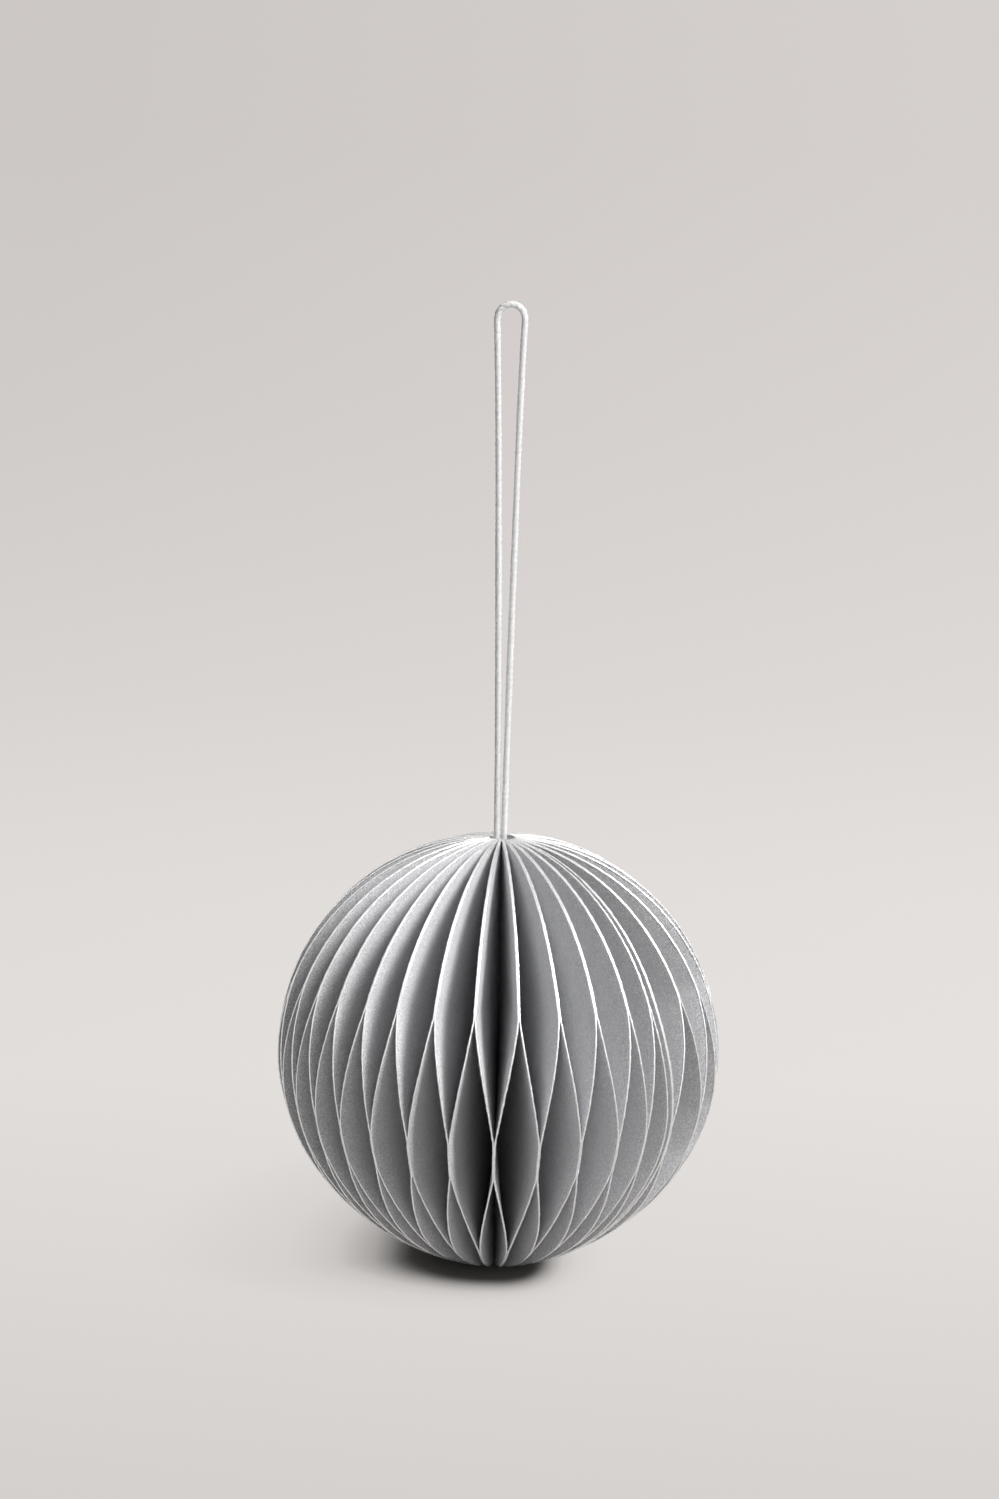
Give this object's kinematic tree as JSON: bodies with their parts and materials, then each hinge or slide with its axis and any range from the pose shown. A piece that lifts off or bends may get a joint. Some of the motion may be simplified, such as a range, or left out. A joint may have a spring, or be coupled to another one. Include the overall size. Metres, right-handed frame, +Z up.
{
  "type": "honeycomb paper ornament",
  "caption": "Ball of grey half-disc paper leaves with white glittered edges, bonded in a honeycomb round a hollow spine and hung on a white cord loop.",
  "frame": {"origin": "inside top of the cord loop, where the ornament hangs", "axes": "+Z up along the ball's axis and the hanging cord; +X to the right and -Y to the front as pictured; the loop lies in the XZ plane"},
  "size_m": [0.08, 0.0799, 0.1752],
  "materials": {
    "grey_paper": "matte grey paper, white glitter on the cut edges",
    "white_cord": "twisted white cotton cord",
    "spine_glue": "dried white glue",
    "closure_pad": "white self-adhesive foam"
  },
  "bodies": {
    "root": {"leaf_pair_01": "grey_paper", "leaf_pair_02": "grey_paper", "leaf_pair_03": "grey_paper", "leaf_pair_04": "grey_paper", "leaf_pair_05": "grey_paper", "leaf_pair_06": "grey_paper", "leaf_pair_07": "grey_paper", "leaf_pair_08": "grey_paper", "leaf_pair_09": "grey_paper", "leaf_pair_10": "grey_paper", "leaf_pair_11": "grey_paper", "leaf_pair_12": "grey_paper", "leaf_pair_13": "grey_paper", "leaf_pair_14": "grey_paper", "leaf_pair_15": "grey_paper", "leaf_pair_16": "grey_paper", "leaf_pair_17": "grey_paper", "leaf_pair_18": "grey_paper", "leaf_pair_19": "grey_paper", "leaf_pair_20": "grey_paper", "leaf_pair_21": "grey_paper", "leaf_pair_22": "grey_paper", "leaf_pair_23": "grey_paper", "leaf_pair_24": "grey_paper", "leaf_pair_25": "grey_paper", "leaf_pair_26": "grey_paper", "leaf_pair_27": "grey_paper", "leaf_pair_28": "grey_paper", "leaf_pair_29": "grey_paper", "leaf_pair_30": "grey_paper", "leaf_pair_31": "grey_paper", "leaf_pair_32": "grey_paper", "leaf_pair_33": "grey_paper", "end_leaf": "grey_paper", "cover_ply": "grey_paper", "closure_pad_upper": "closure_pad", "closure_pad_lower": "closure_pad", "spine_core": "spine_glue", "cord_loop": "white_cord", "knot": "white_cord"}
  },
  "joints": []
}
